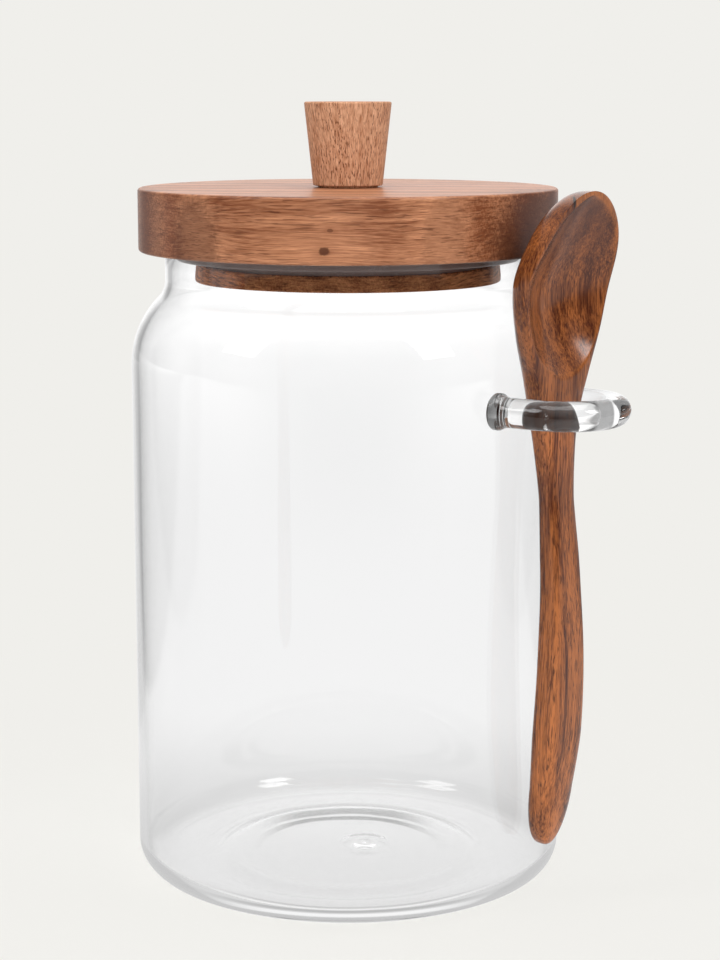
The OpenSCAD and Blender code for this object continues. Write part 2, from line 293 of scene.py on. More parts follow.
class Surface(Graph):
    """One material while it is built, with its Principled shader and its coordinates."""

    def __init__(self, name: str) -> None:
        """Makes the material.

        Args:
            name: The material's name.
        """
        self.material = bpy.data.materials.new(name)
        self.material.use_nodes = True
        super().__init__(self.material.node_tree)
        self.shader = self.tree.nodes["Principled BSDF"]
        self.coords = self.node("ShaderNodeTexCoord").outputs
        self.place = self.coords["Object"]

    def gloss(self, groups: Groups, base: float, smear: float, speck: float) -> None:
        """Gives the surface the uneven gloss of handling.

        Args:
            groups: The shared shader groups.
            base: The roughness without any marks.
            smear: How much it changes in broad smears.
            speck: How much it changes in fine specks.
        """
        values = {"Vector": self.place, "Base": base, "Smear": smear, "Speck": speck}
        rough = self.out("ShaderNodeGroup", values, node_tree=groups.handling)
        self.fill(self.shader, {"Roughness": rough})

    def relief(self, strength: float, height: float, pattern: Socket) -> None:
        """Gives the surface a fine relief, with its height in millimetres."""
        values = {"Strength": strength, "Distance": height * MM, "Height": pattern}
        self.fill(self.shader, {"Normal": self.out("ShaderNodeBump", values)})

    def mix(self, share: Socket, first: Socket, second: Socket) -> Socket:
        """Mixes two shaders, with share as the part of the second one."""
        return self.out("ShaderNodeMixShader", {0: share, 1: first, 2: second})

    def show(self, shader: Socket) -> None:
        """Takes another shader than the Principled one as the surface."""
        self.fill(self.tree.nodes["Material Output"], {"Surface": shader})


@dataclass(frozen=True)
class Finish:
    """What every finish has: a name and a way to be made."""

    name: str

    def material(self, groups: Groups) -> bpy.types.Material:
        """Builds the material.

        Args:
            groups: The shared shader groups.

        Returns:
            The finished material.
        """
        work = Surface(self.name)
        self.dress(work, groups)
        return work.material

    def dress(self, work: Surface, groups: Groups) -> None:
        """Gives the material its looks, which each kind of finish does in its own way."""
        raise NotImplementedError


@dataclass(frozen=True)
class Spot:
    """A dark spot in a wood, or a patch of painted shadow: its place and its reach each way, in millimetres.
    """

    place: Triple
    reach: Triple
    ragged: float = 0.8
    depth: float = 0.85
    halo: float = 0.25


@dataclass(frozen=True)
class WoodFinish(Finish):
    """One oiled wood: its colours, its figure and its gloss. Lengths are in millimetres."""

    pale: Colour
    deep: Colour
    pore: Colour
    grain: Grain
    turn: float = 0.0
    heart: Triple = (0.0, 0.0, 0.0)
    ring_width: float = 6.0
    ring_depth: float = 0.3
    band_depth: float = 0.6
    fibre_depth: float = 0.35
    fine_depth: float = 0.35
    fine_length: float = 3.0
    pore_depth: float = 0.6
    pore_length: float = 6.0
    pore_width: float = 0.4
    end_depth: float = 0.3
    layer: float = 1.0
    roughness: float = 0.6
    smear: float = 0.15
    speck_share: float = 0.6
    bump: float = 0.3
    bump_h: float = 0.15
    coat: float = 0.0
    coat_roughness: float = 0.28
    specular: float = 0.3
    spots: tuple[Spot, ...] = ()
    tone_and_painted_light: tuple[tuple[str, Colour, float], ...] = ()
    through: Colour | None = None
    through_share: float = 0.88
    through_depth: float = 3.5

    def dress(self, work: Surface, groups: Groups) -> None:
        """Gives the material its figure, its marks, its gloss and its relief.

        Args:
            work: The material.
            groups: The shared shader groups.
        """
        turns = [math.radians(angle) for angle in self.grain.value]
        turns[2] += math.radians(self.turn)
        heart = [value * MM for value in self.heart]
        place = {0: work.place, "Rotation": turns, "Location": heart}
        normal = {0: work.coords["Normal"], "Rotation": turns}
        values = {"Vector": work.out("ShaderNodeMapping", place),
                  "Normal": work.out("ShaderNodeMapping", normal, vector_type="VECTOR")}
        for name in FIGURE_VALUES + FIGURE_COLOURS:
            values[name] = getattr(self, name.lower().replace(" ", "_"))
        figure = work.node("ShaderNodeGroup", values, node_tree=groups.wood)
        colour = figure.outputs["Color"]
        # Blends in colours by mesh attributes; on the spoon these include painted shade, sheen and a painted
        # highlight.
        for attribute, shade, share in self.tone_and_painted_light:
            mark = work.node("ShaderNodeAttribute", attribute_name=attribute).outputs["Fac"]
            colour = work.blend(work.times(mark, share), colour, shade)
        for spot in self.spots:
            values = {"Vector": work.place, "Place": [value * MM for value in spot.place],
                      "Reach": [value * MM for value in spot.reach], "Ragged": spot.ragged}
            mask, halo = work.node("ShaderNodeGroup", values, node_tree=groups.spot).outputs
            colour = work.blend(work.times(halo, spot.halo), colour, self.deep)
            colour = work.blend(work.times(mask, spot.depth), colour, self.pore)
        # Painted shade: wood seen through a few glass surfaces is blended towards the through colour.
        if self.through is not None:
            path = work.node("ShaderNodeLightPath").outputs
            shallow = work.math("LESS_THAN", path["Transmission Depth"], self.through_depth)
            painted_shade_through_glass = work.times(path["Is Transmission Ray"], shallow, self.through_share)
            colour = work.blend(painted_shade_through_glass, colour, self.through)
        work.gloss(groups, self.roughness, self.smear, self.smear * self.speck_share)
        work.relief(self.bump, self.bump_h, figure.outputs["Height"])
        work.fill(work.shader, {"Base Color": colour, "Specular IOR Level": self.specular,
                                "Coat Weight": self.coat, "Coat Roughness": self.coat_roughness})


@dataclass(frozen=True)
class GlassFinish(Finish):
    """Clear blown glass with a faint wave in its surface, which lets the light of lamps through."""

    tint: Colour
    wave: float
    trap: Colour = (0.8, 0.8, 0.8, 1.0)
    trap_depth: float = 2.5
    index: float = 1.47

    def dress(self, work: Surface, groups: Groups) -> None:
        """Gives the material its wave, and ends light that is trapped in the wall.

        Args:
            work: The material.
            groups: The shared shader groups, which glass doesn't use.
        """
        values = {"Base Color": self.tint, "Transmission Weight": 1.0, "IOR": self.index, "Roughness": 0.0}
        work.fill(work.shader, values)
        work.relief(self.wave, 0.1, work.drawn(work.place, (1.0, 1.0, 0.3), 2.0, 0.5, 70.0))
        path = work.node("ShaderNodeLightPath").outputs
        trapped = work.math("GREATER_THAN", path["Glossy Depth"], self.trap_depth)
        clear = work.out("ShaderNodeBsdfTransparent", {0: work.blend(trapped, WHITE, self.trap)})
        passing = work.math("MAXIMUM", path["Is Shadow Ray"], trapped)
        work.show(work.mix(passing, work.shader.outputs[0], clear))


@dataclass(frozen=True)
class SiliconeFinish(Finish):
    """Soft translucent silicone with a fine dusty bloom."""

    colour: Colour
    dust: Colour

    def dress(self, work: Surface, groups: Groups) -> None:
        """Gives the material its bloom, its gloss and its soft depth.

        Args:
            work: The material.
            groups: The shared shader groups.
        """
        bloom = work.noise(work.place, 4.0, 0.6, 220.0)
        speck = work.noise(work.place, 2.0, 0.7, 2600.0)
        cover = work.times(work.step(bloom, 0.4, 0.7), work.step(speck, 0.45, 0.7))
        work.gloss(groups, 0.42, 0.2, 0.1)
        work.relief(0.15, 0.05, speck)
        work.fill(work.shader, {"Base Color": work.blend(cover, self.colour, self.dust),
                                "Subsurface Weight": 0.35, "Subsurface Radius": (1.0, 1.0, 1.0),
                                "Subsurface Scale": 1.2 * MM})


@dataclass(frozen=True)
class SteelFinish(Finish):
    """Zinc-plated steel with turning marks round its axis."""

    colour: Colour
    stain: Colour

    def dress(self, work: Surface, groups: Groups) -> None:
        """Gives the material its stains, its gloss and its turning marks.

        Args:
            work: The material.
            groups: The shared shader groups.
        """
        cloud = work.step(work.noise(work.place, 4.0, 0.6, 500.0), 0.4, 0.7)
        work.fill(work.shader, {"Base Color": work.blend(cloud, self.colour, self.stain), "Metallic": 1.0})
        work.gloss(groups, 0.34, 0.2, 0.15)
        work.relief(0.2, 0.02, work.drawn(work.place, (0.1, 0.1, 1.0), 2.0, 0.5, 6000.0))


def arc(centre: Point, radius: float, start: float, end: float, steps: int) -> list[Point]:
    """Gives the points of an arc from one angle to another, in degrees, with so many steps."""
    angles = [math.radians(start + (end - start) * i / steps) for i in range(steps + 1)]
    return [(centre[0] + radius * math.cos(a), centre[1] + radius * math.sin(a)) for a in angles]


def stretch(first: Point, last: Point, step: float) -> list[Point]:
    """Gives the points between two ends of a straight line, at most a step apart and without the ends."""
    count = max(1, math.ceil(math.dist(first, last) / step))
    return [tuple(a + (b - a) * i / count for a, b in zip(first, last)) for i in range(1, count)]


def rounded(corners: Sequence[Triple], closed: bool, step: float = 2.0, steps: int = 6) -> list[Point]:
    """Rounds the corners of an outline.

    Args:
        corners: Distance from the axis, height and radius of each corner.
        closed: Whether the outline comes back to its start. Otherwise its two ends stay sharp.
        step: The largest distance between points on a straight stretch.
        steps: How many pieces each round has.

    Returns:
        The points of the outline. A closed one has its first point again at its end.
    """
    points: list[Point] = []
    for i, (x, z, radius) in enumerate(corners):
        here = Vector((x, z))
        bend = [here]
        if closed or 0 < i < len(corners) - 1:
            back = (Vector(corners[i - 1][:2]) - here).normalized()
            ahead = (Vector(corners[(i + 1) % len(corners)][:2]) - here).normalized()
            half = back.angle(ahead) / 2
            centre = here + (back + ahead).normalized() * radius / math.sin(half)
            first = here + back * radius / math.tan(half) - centre
            swing = math.copysign(math.pi - 2 * half, ahead.cross(back))
            bend = [centre + Matrix.Rotation(swing * k / steps, 2) @ first for k in range(steps + 1)]
        if points:
            points += stretch(points[-1], tuple(bend[0]), step)
        points += [(spot.x, spot.y) for spot in bend]
    if closed:
        points += stretch(points[-1], points[0], step) + points[:1]
    return points


def add_object(name: str, data: bpy.types.ID) -> bpy.types.Object:
    """Puts a mesh, a lamp or a camera into the scene.

    Args:
        name: The object's name.
        data: What the object holds.

    Returns:
        The object, at the origin.
    """
    thing = bpy.data.objects.new(name, data)
    bpy.context.scene.collection.objects.link(thing)
    return thing


class Workshop:
    """Turns outlines and paths into finished meshes with geometry nodes."""

    def __init__(self) -> None:
        """Builds the node trees."""
        self.lathe = self.lathe_tree()
        self.rod = self.rod_tree()
        self.thread = self.thread_tree()

    @staticmethod
    def end_tree(graph: Graph, given: Any, result: bpy.types.Node, geometry: Socket) -> bpy.types.NodeTree:
        """Ends a tree with a plain mesh that has its finish.

        Args:
            graph: The graph of the tree.
            given: The sockets of its inputs.
            result: Its output node.
            geometry: The geometry that it made.

        Returns:
            The geometry node group.
        """
        whole = graph.out("GeometryNodeRealizeInstances", {0: geometry})
        dressed = graph.out("GeometryNodeSetMaterial", {0: whole, "Material": given["Finish"]})
        graph.fill(result, {0: dressed})
        return graph.tree

    @staticmethod
    def lathe_tree() -> bpy.types.NodeTree:
        """Builds the tree that turns an outline round Z.

        Returns:
            The geometry node group.
        """
        inputs = {"Outline": "Geometry", "Segments": "Int", "Wobble": "Float", "Finish": "Material"}
        graph, given, result = new_group("Turned piece", "GeometryNodeTree", inputs, {"Piece": "Geometry"})
        outline, segments = given["Outline"], given["Segments"]
        rows = graph.node("GeometryNodeAttributeDomainSize", {0: outline}).outputs["Point Count"]
        columns = graph.plus(segments, 1.0)
        grid = graph.out("GeometryNodeMeshGrid", {"Vertices X": columns, "Vertices Y": rows})
        index = {0: graph.out("GeometryNodeInputIndex"), 1: rows}
        row = graph.out("FunctionNodeIntegerMath", index, operation="MODULO")
        column = graph.out("FunctionNodeIntegerMath", index, operation="DIVIDE_FLOOR")
        angle = graph.times(graph.math("DIVIDE", column, segments), math.tau)
        own = graph.out("GeometryNodeInputPosition")
        sample = graph.out("GeometryNodeSampleIndex", {"Geometry": outline, "Value": own, "Index": row},
                           data_type="FLOAT_VECTOR", domain="POINT")
        radius, _, height = graph.split(sample)
        sides = [graph.times(radius, graph.math(operation, angle)) for operation in ("COSINE", "SINE")]
        turned = graph.out("GeometryNodeSetPosition", {0: grid, "Position": graph.joined(*sides, height)})
        closed = graph.out("GeometryNodeMergeByDistance", {0: turned, "Distance": 0.002 * MM})
        uneven = graph.drawn(own, (1.0, 1.0, 0.35), 1.0, 0.5, 45.0)
        push = graph.times(graph.math("SUBTRACT", uneven, 0.9), given["Wobble"])
        offset = graph.scaled(graph.out("GeometryNodeInputNormal"), push)
        blown = graph.out("GeometryNodeSetPosition", {0: closed, "Offset": offset})
        smooth = graph.out("GeometryNodeSetShadeSmooth", {0: blown})
        return Workshop.end_tree(graph, given, result, smooth)

    @staticmethod
    def rod_tree() -> bpy.types.NodeTree:
        """Builds the tree that draws a rod along a path, as thick as the path's points say.

        Returns:
            The geometry node group.
        """
        inputs = {"Path": "Geometry", "Sides": "Int", "Finish": "Material"}
        graph, given, result = new_group("Bent rod", "GeometryNodeTree", inputs, {"Piece": "Geometry"})
        path = graph.out("GeometryNodeMeshToCurve", {0: given["Path"]})
        thick = graph.out("GeometryNodeInputNamedAttribute", {"Name": "thickness"}, data_type="FLOAT")
        circle = graph.out("GeometryNodeCurvePrimitiveCircle", {"Resolution": given["Sides"], "Radius": 1.0})
        swept = graph.out("GeometryNodeCurveToMesh", {0: path, 1: circle, "Scale": thick, "Fill Caps": True})
        smooth = graph.out("GeometryNodeSetShadeSmooth", {0: swept})
        return Workshop.end_tree(graph, given, result, smooth)

    @staticmethod
    def thread_tree() -> bpy.types.NodeTree:
        """Builds the tree that winds a screw's thread and adds it to its shank.

        Returns:
            The geometry node group.
        """
        inputs = {"Shank": "Geometry", "Finish": "Material"}
        inputs |= dict.fromkeys(("Turns", "Radius", "Length", "Start", "Ridge"), "Float")
        graph, given, result = new_group("Screw thread", "GeometryNodeTree", inputs, {"Piece": "Geometry"})
        values = {"Resolution": 28, "Rotations": given["Turns"], "Start Radius": given["Radius"],
                  "End Radius": given["Radius"], "Height": given["Length"]}
        spiral = graph.out("GeometryNodeCurveSpiral", values)
        ridge = graph.out("GeometryNodeCurvePrimitiveCircle", {"Resolution": 4, "Radius": given["Ridge"]})
        wound = graph.out("GeometryNodeCurveToMesh", {0: spiral, 1: ridge, "Fill Caps": True})
        lift = graph.joined(0.0, 0.0, given["Start"])
        raised = graph.out("GeometryNodeTransform", {0: wound, "Translation": lift})
        both = graph.node("GeometryNodeJoinGeometry", {0: given["Shank"]})
        graph.fill(both, {0: raised})
        return Workshop.end_tree(graph, given, result, both.outputs[0])

    @staticmethod
    def line_mesh(name: str, points: Iterable[Triple]) -> bpy.types.Mesh:
        """Makes a mesh of one line.

        Args:
            name: The mesh's name.
            points: The line's points, in metres.

        Returns:
            The mesh of points and edges.
        """
        places = list(points)
        mesh = bpy.data.meshes.new(name)
        mesh.from_pydata(places, [(i, i + 1) for i in range(len(places) - 1)], [])
        return mesh

    @staticmethod
    def run(piece: bpy.types.Object, tree: bpy.types.NodeTree, values: dict[str, Any]) -> bpy.types.Object:
        """Runs a tree on an object and keeps the result as a plain mesh.

        Args:
            piece: The object that holds the outline, the path or the shank.
            tree: The geometry node group.
            values: The tree's named inputs.

        Returns:
            The same object, with its finished mesh.
        """
        modifier = piece.modifiers.new(tree.name, "NODES")
        modifier.node_group = tree
        names = {item.name: item.identifier for item in tree.interface.items_tree if item.in_out == "INPUT"}
        for name, value in values.items():
            modifier[names[name]] = value
        return Workshop.settle(piece)

    @staticmethod
    def settle(piece: bpy.types.Object) -> bpy.types.Object:
        """Replaces an object's mesh by what its modifiers make of it, and removes them.

        Args:
            piece: The object.

        Returns:
            The same object.
        """
        graph = bpy.context.evaluated_depsgraph_get()
        mesh = bpy.data.meshes.new_from_object(piece.evaluated_get(graph))
        piece.modifiers.clear()
        old = piece.data
        piece.data = mesh
        mesh.name = piece.name
        bpy.data.meshes.remove(old)
        Workshop.face_outwards(mesh)
        return piece

    @staticmethod
    def face_outwards(mesh: bpy.types.Mesh) -> None:
        """Turns a closed mesh right side out, if its volume is negative.

        Args:
            mesh: The mesh.
        """
        work = bmesh.new()
        work.from_mesh(mesh)
        if work.calc_volume(signed=True) < 0:
            bmesh.ops.reverse_faces(work, faces=work.faces)
            work.to_mesh(mesh)
        work.free()

    def turn(self, name: str, outline: Sequence[Point], finish: bpy.types.Material, segments: int,
             wobble: float = 0.0) -> bpy.types.Object:
        """Turns an outline into a piece.

        Args:
            name: The piece's name.
            outline: Distances from the axis and heights, in millimetres.
            finish: The piece's material.
            segments: How many faces go round it.
            wobble: How uneven its surface is, in millimetres.

        Returns:
            The finished piece.
        """
        mesh = self.line_mesh(name, [(x * MM, 0.0, z * MM) for x, z in outline])
        values = {"Segments": segments, "Wobble": wobble * MM, "Finish": finish}
        return self.run(add_object(name, mesh), self.lathe, values)


def place_piece(piece: bpy.types.Object, body: str, slot: str, *nodes: str) -> None:
    """Hands a finished piece over to the frame.

    Args:
        piece: The piece.
        body: The body that it moves with.
        slot: The material slot of the record, which is not used.
        nodes: The nodes that it stands for.
    """
    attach(piece, body)
    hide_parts(*nodes)
    LOG.info("%s rides on %s with %d faces", piece.name, body, len(piece.data.polygons))


@dataclass
class Assembly:
    """What every sub-assembly has: the workshop that makes its meshes, and the finishes that dress them."""

    shop: Workshop
    finishes: dict[str, bpy.types.Material]


@dataclass
class GlassJar(Assembly):
    """The blown body and the loop that is fused to its wall. Lengths are in millimetres."""

    wall_h: float = 119.6
    wall_t: float = 1.6
    floor_t: float = 2.4
    shoulder_r: float = 22.0
    neck_d: float = 84.0
    neck_fillet: float = 5.5
    rim_round: float = 0.75
    heel_r: float = 6.5
    foot_ring_w: float = 12.5
    punt_h: float = 2.5
    punt_step: float = 0.5
    punt_round: float = 6.0
    pip_d: float = 8.5
    pip_h: float = 0.16
    moat_h: float = 0.16
    ripple_h: float = 0.05
    pip_place: Point = (3.9, -4.4)
    rod_d: float = 6.6
    loop_angle: float = 54.0
    loop_w: float = 11.3
    loop_c: float = 58.08
    foot_d: float = 8.2
    foot_t: float = 1.8
    flare: float = 2.2
    sink: float = 0.9
    segments: int = 256
    floor_steps: int = 90
    rod_sides: int = 48
    bend_steps: int = 48
    foot_steps: int = 30
    foot_step: float = 0.15
    leg_depths: tuple[float, ...] = (4.2, 5.2, 6.2, 7.2)
    wobble: float = 0.1

    def __post_init__(self) -> None:
        """Takes the outer sizes from the frame."""
        low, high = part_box("glass_jar")
        self.body_r = high.x / MM
        self.rim_z = high.z / MM
        low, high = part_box("spoon_loop")
        self.loop_z = (low.z + high.z) / 2 / MM

    def outline(self) -> list[Point]:
        """Gives the outline of the wall, from the middle of the bottom up to the rim and back down inside.

        Returns:
            The points of the outline.
        """
        neck_r = self.neck_d / 2
        bore_r = neck_r - self.wall_t
        shoulder = (self.body_r - self.shoulder_r, self.wall_h)
        fillet_x = neck_r + self.neck_fillet
        reach = self.shoulder_r + self.neck_fillet
        fillet = (fillet_x, self.wall_h + math.sqrt(reach ** 2 - (fillet_x - shoulder[0]) ** 2))
        bend = math.degrees(math.atan2(fillet[1] - self.wall_h, fillet_x - shoulder[0]))
        heel_x = self.body_r - self.heel_r
        spots = [(heel_x - 2) * i / self.floor_steps for i in range(self.floor_steps + 1)]
        inner_heel = self.heel_r - self.wall_t
        rim = self.rim_z - self.rim_round
        parts = [
            [(x, self.rise(x)) for x in spots],
            arc((heel_x, self.heel_r), self.heel_r, -90, 0, 18),
            arc(shoulder, self.shoulder_r, 0, bend, 22),
            arc(fillet, self.neck_fillet, 180 + bend, 180, 12),
            arc((neck_r - self.rim_round, rim), self.rim_round, 0, 90, 6),
            arc((bore_r + self.rim_round, rim), self.rim_round, 90, 180, 6),
            arc(fillet, self.neck_fillet + self.wall_t, 180, 180 + bend, 12),
            arc(shoulder, self.shoulder_r - self.wall_t, bend, 0, 22),
            arc((heel_x, self.floor_t + inner_heel), inner_heel, 0, -90, 18),
            [(x, self.floor_t + self.rise(x)) for x in reversed(spots)]]
        points: list[Point] = []
        for part in parts:
            if points:
                points += stretch(points[-1], part[0], 3.0)
            points += part
        return points

    def rise(self, radius: float) -> float:
        """Gives how far the bottom is pushed up: a low dome with a rounded step round it.

        Args:
            radius: The distance from the axis.

        Returns:
            The height above the foot ring.
        """
        foot = self.body_r - self.heel_r - self.foot_ring_w + self.punt_round / 2
        share = min(max((foot - radius) / self.punt_round, 0.0), 1.0)
        dome = max(0.0, 1 - (radius / (foot - self.punt_round / 2)) ** 2)
        return self.punt_step * share ** 2 * (3 - 2 * share) + (self.punt_h - self.punt_step) * dome * share

    def raise_pip(self, mesh: bpy.types.Mesh) -> None:
        """Raises the pip with its shallow moat and its ripples on the inside of the floor.

        Args:
            mesh: The mesh of the jar.
        """
        radius = self.pip_d / 2
        for vertex in mesh.vertices:
            x, y, z = (value / MM for value in vertex.co)
            away = math.dist((x, y), self.pip_place) / radius
            if away < 2.0 and self.punt_h + self.floor_t / 2 < z < self.floor_t + self.punt_h + 1:
                cap = max(0.0, 1 - away ** 2) ** 1.5
                moat = math.exp(-((away - 1.1) / 0.35) ** 2)
                ripple = math.cos(2 * math.tau * away) * math.exp(-away ** 2)
                vertex.co.z += (self.pip_h * cap - self.moat_h * moat + self.ripple_h * ripple) * MM

    def loop_path(self) -> list[tuple[Triple, float]]:
        """Gives the points of the bent rod, from one foot round to the other, with its radius at each.

        Returns:
            The points in metres, each with its radius in metres.
        """
        wall = math.sqrt(self.body_r ** 2 - self.loop_w ** 2)
        depths = [-self.sink + self.foot_step * i for i in range(self.foot_steps)]
        legs = [wall + depth for depth in (*depths, *self.leg_depths) if wall + depth < self.loop_c]
        flat = [(-self.loop_w, -d) for d in legs]
        flat += [(-x, -self.loop_c - y) for x, y in arc((0, 0), self.loop_w, 0, 180, self.bend_steps)]
        flat += [(self.loop_w, -d) for d in reversed(legs)]
        turn = Matrix.Rotation(math.radians(self.loop_angle), 2)
        path = []
        for x, y in flat:
            flare = math.exp(-(max(-y - wall, 0.0) / self.foot_t) ** 2 * self.flare)
            radius = self.rod_d / 2 + (self.foot_d - self.rod_d) / 2 * flare
            spot = turn @ Vector((x, y))
            path.append(((spot.x * MM, spot.y * MM, self.loop_z * MM), radius * MM))
        return path

    def build(self) -> None:
        """Makes the body and the loop."""
        glass = self.finishes["glass"]
        body = self.shop.turn("jar_glass", self.outline(), glass, self.segments, self.wobble)
        self.raise_pip(body.data)
        place_piece(body, "jar", "clear_glass", "glass_jar")
        path = self.loop_path()
        mesh = self.shop.line_mesh("loop_glass", [spot for spot, _ in path])
        thick = mesh.attributes.new("thickness", "FLOAT", "POINT")
        thick.data.foreach_set("value", [radius for _, radius in path])
        values = {"Sides": self.rod_sides, "Finish": glass}
        loop = self.shop.run(add_object("loop_glass", mesh), self.shop.rod, values)
        place_piece(loop, "jar", "clear_glass", "spoon_loop")


@dataclass
class Lid(Assembly):
    """The turned lid with its plug, seal, knob and screw. Lengths are in millimetres."""

    edge: float = 0.7
    hole_r: float = 2.2
    hole_edge: float = 0.2
    wobble: float = 0.04
    groove_h: float = 3.4
    spigot_r: float = 33.2
    lip_t: float = 2.3
    lip_edge: float = 1.9
    knob_edge: float = 0.3
    knob_taper: float = 0.8
    knob_gap: float = 0.4
    knob_wobble: float = 0.05
    screw_d: float = 4.0
    core_share: float = 0.78
    head_edge: float = 0.15
    drive_w: float = 1.0
    drive_l: float = 4.4
    drive_h: float = 1.6
    thread_pitch: float = 1.6
    thread_ridge: float = 0.4
    disc_sides: int = 192
    seal_sides: int = 160
    knob_sides: int = 128
    screw_sides: int = 64

    def __post_init__(self) -> None:
        """Takes the outer sizes from the frame."""
        low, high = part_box("lid_disc")
        self.radius = high.x / MM
        self.rim_z = low.z / MM
        self.top_z = high.z / MM
        low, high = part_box("lid_knob")
        self.knob_r = high.x / MM
        self.knob_z = high.z / MM
        low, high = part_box("knob_screw")
        self.screw_low = low.z / MM
        self.screw_high = high.z / MM
        self.head_r = high.x / MM
        self.lip_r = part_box("seal_ring")[1].x / MM

    def build(self) -> None:
        """Makes every piece of the lid."""
        self.make_disc()
        self.dress_staves()
        self.make_seal()
        self.make_knob()
        self.make_screw()

    def make_disc(self) -> None:
        """Turns the thick disc with its eased edges."""
        corners = [(self.hole_r, self.rim_z, self.hole_edge), (self.radius, self.rim_z, self.edge),
                   (self.radius, self.top_z, self.edge), (self.hole_r, self.top_z, self.hole_edge)]
        outline = rounded(corners, True)
        disc = self.shop.turn("lid_top", outline, self.finishes["lid"], self.disc_sides, self.wobble)
        place_piece(disc, "lid", "lid_wood", "lid_disc")

    def dress_staves(self) -> None:
        """Gives each stave of the plug its own wood."""
        for side in ("left", "middle", "right"):
            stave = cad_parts["plug_stave_" + side]
            stave.data.materials.clear()
            stave.data.materials.append(self.finishes["stave_" + side])

    def make_seal(self) -> None:
        """Turns the seal with its one lip."""
        low = self.rim_z - self.groove_h
        root = self.spigot_r + 1.0
        corners = [(self.spigot_r, low, 0.2), (root, low, 0.2), (root + 0.5, self.rim_z - self.lip_t, 0.5),
                   (self.lip_r, self.rim_z - self.lip_edge, 0.6), (self.lip_r, self.rim_z, 0.8),
                   (self.spigot_r, self.rim_z, 0.2)]
        outline = rounded(corners, True, 1.0)
        seal = self.shop.turn("lid_seal", outline, self.finishes["seal"], self.seal_sides)
        place_piece(seal, "lid", "silicone", "seal_ring")

    def make_knob(self) -> None:
        """Turns the tapered knob with its blind hole and the undercut below it."""
        foot_r = self.knob_r * self.knob_taper
        bore_r = self.screw_d / 2
        edge = self.knob_edge
        under = self.top_z + self.knob_gap
        corners = [(0.0, self.screw_high, 0.0), (bore_r, self.screw_high, 0.2), (bore_r, self.top_z, 0.2),
                   (foot_r - 1.2, self.top_z, 0.1), (foot_r - 1.0, under, 0.1), (foot_r - 0.2, under, 0.15),
                   (foot_r, self.top_z + 2 * edge, 0.2), (self.knob_r, self.knob_z - edge, 0.3),
                   (self.knob_r - edge, self.knob_z, 0.3), (0.0, self.knob_z, 0.0)]
        outline = rounded(corners, False, 1.0)
        wood = self.finishes["knob"]
        knob = self.shop.turn("lid_knob_wood", outline, wood, self.knob_sides, self.knob_wobble)
        place_piece(knob, "lid", "knob_wood", "lid_knob")

    def make_screw(self) -> None:
        """Makes the countersunk screw with its cross recess and thread."""
        half = self.screw_d / 2
        core = half * self.core_share
        neck = self.screw_low + self.head_r - half
        point = self.screw_high - self.screw_d
        outline = [(0.0, self.screw_low), (self.head_r - self.head_edge, self.screw_low),
                   (self.head_r, self.screw_low + self.head_edge), (half, neck), (half, self.top_z),
                   (core, self.top_z + 0.4), (core, point), (0.0, self.screw_high)]
        steel = self.finishes["screw"]
        shank = self.shop.turn("screw_steel", outline, steel, self.screw_sides)
        self.cut_recess(shank)
        length = point - self.top_z
        values = {"Turns": length / self.thread_pitch, "Radius": core * MM, "Length": length * MM,
                  "Start": self.top_z * MM, "Ridge": self.thread_ridge * MM, "Finish": steel}
        self.shop.run(shank, self.shop.thread, values)
        place_piece(shank, "lid", "steel", "knob_screw")

    def cut_recess(self, shank: bpy.types.Object) -> None:
        """Cuts the cross recess into the screw's head.

        Args:
            shank: The turned screw.
        """
        work = bmesh.new()
        size = Matrix.Diagonal((self.drive_l * MM, self.drive_w * MM, 2 * self.drive_h * MM, 1.0))
        lift = Matrix.Translation((0.0, 0.0, self.screw_low * MM))
        for quarter in (0.0, math.pi / 2):
            bmesh.ops.create_cube(work, size=1.0, matrix=lift @ Matrix.Rotation(quarter, 4, "Z") @ size)
        mesh = bpy.data.meshes.new("recess")
        work.to_mesh(mesh)
        work.free()
        cutter = add_object("recess", mesh)
        cut = shank.modifiers.new("recess", "BOOLEAN")
        cut.object = cutter
        cut.operation = "DIFFERENCE"
        cut.use_self = True
        self.shop.settle(shank)
        bpy.data.objects.remove(cutter)
        bpy.data.meshes.remove(mesh)


